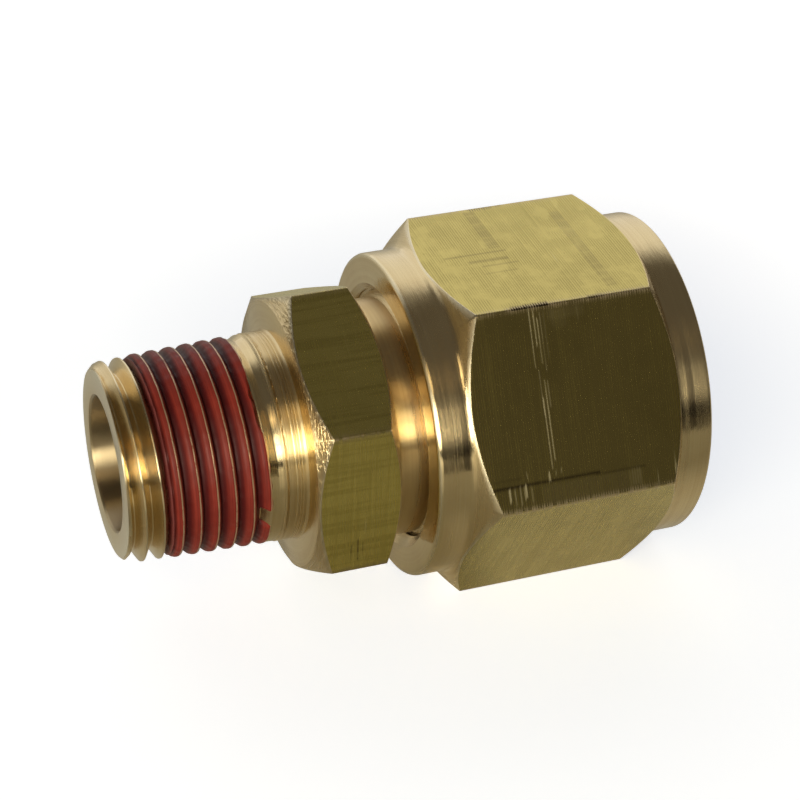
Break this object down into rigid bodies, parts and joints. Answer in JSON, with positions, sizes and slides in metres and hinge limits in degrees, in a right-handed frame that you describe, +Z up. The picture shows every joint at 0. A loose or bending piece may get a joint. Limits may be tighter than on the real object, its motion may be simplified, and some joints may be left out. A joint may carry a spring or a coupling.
{
  "type": "tube connector fitting",
  "caption": "Brass male connector for tubing: taper pipe thread with baked-on red sealant, spanner hexagon, and a long collared compression nut over a sleeve.",
  "frame": {"origin": "on the ground under the middle of the fitting's length, with the nut lying on one of its flats and the axis 17.46 mm above it", "axes": "+X along the fitting's axis from the pipe thread towards the tube end; +Z up; +Y to the left when looking along +X"},
  "size_m": [0.0598, 0.0404, 0.0349],
  "materials": {
    "body_brass": "turned and bright, with drawn hexagon flats",
    "red_sealant": "dried film, semi-gloss",
    "nut_brass": "turned and bright, with drawn hexagon flats",
    "sleeve_brass": "turned and bright"
  },
  "bodies": {
    "body": {"connector_body": "body_brass", "thread_sealant": "red_sealant"},
    "sleeve_body": {"sleeve": "sleeve_brass"},
    "nut": {"compression_nut": "nut_brass"}
  },
  "joints": [
    {"name": "nut_advance", "type": "slide", "parent": "body", "child": "sleeve_body", "axis": [1, 0, 0], "range_m": [-0.00198, 0.01111]},
    {"name": "nut_turn", "type": "hinge", "parent": "sleeve_body", "child": "nut", "pos_m": [0, 0, 0.01746], "axis": [1, 0, 0], "range_deg": [-450, 2520]}
  ],
  "couplings": [
    {"joint": "nut_advance", "follows": "nut_turn", "m_per_rad": 0.00025266}
  ]
}
